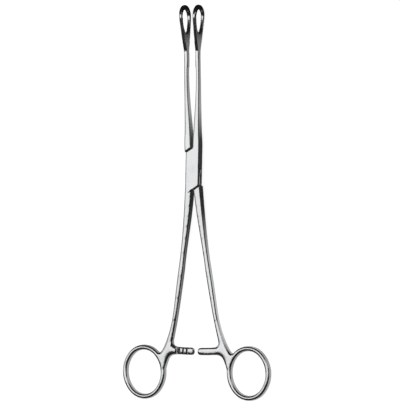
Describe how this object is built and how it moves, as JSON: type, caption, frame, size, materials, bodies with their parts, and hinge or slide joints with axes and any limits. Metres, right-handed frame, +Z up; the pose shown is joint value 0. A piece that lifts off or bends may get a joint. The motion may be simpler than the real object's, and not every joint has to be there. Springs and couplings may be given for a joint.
{
  "type": "sponge holding forceps",
  "caption": "Straight ring-handled forceps with a box lock, ratchet arms and oval windowed jaws with cross grooves, for holding folded swabs.",
  "frame": {"origin": "middle of the outline on the surface that the forceps lie on", "axes": "+Y towards the jaws, +X to the side of the handle that carries the upper ratchet arm, +Z up, away from the surface; the hinge leans back by about a degree because the jaws are deeper than the rings"},
  "size_m": [0.103, 0.2478, 0.014],
  "materials": {
    "box_half": "satin polished stainless steel",
    "tongue_half": "satin polished stainless steel",
    "pivot_pin": "satin polished stainless steel"
  },
  "bodies": {
    "box_side": {"box_half": "box_half", "pivot_pin": "pivot_pin"},
    "tongue_side": {"tongue_half": "tongue_half"}
  },
  "joints": [
    {"name": "box_lock_hinge", "type": "hinge", "parent": "box_side", "child": "tongue_side", "pos_m": [0, 0.02103, 0.00509], "axis": [0, -0.0199, 0.9998], "range_deg": [-4.1, 35]}
  ]
}
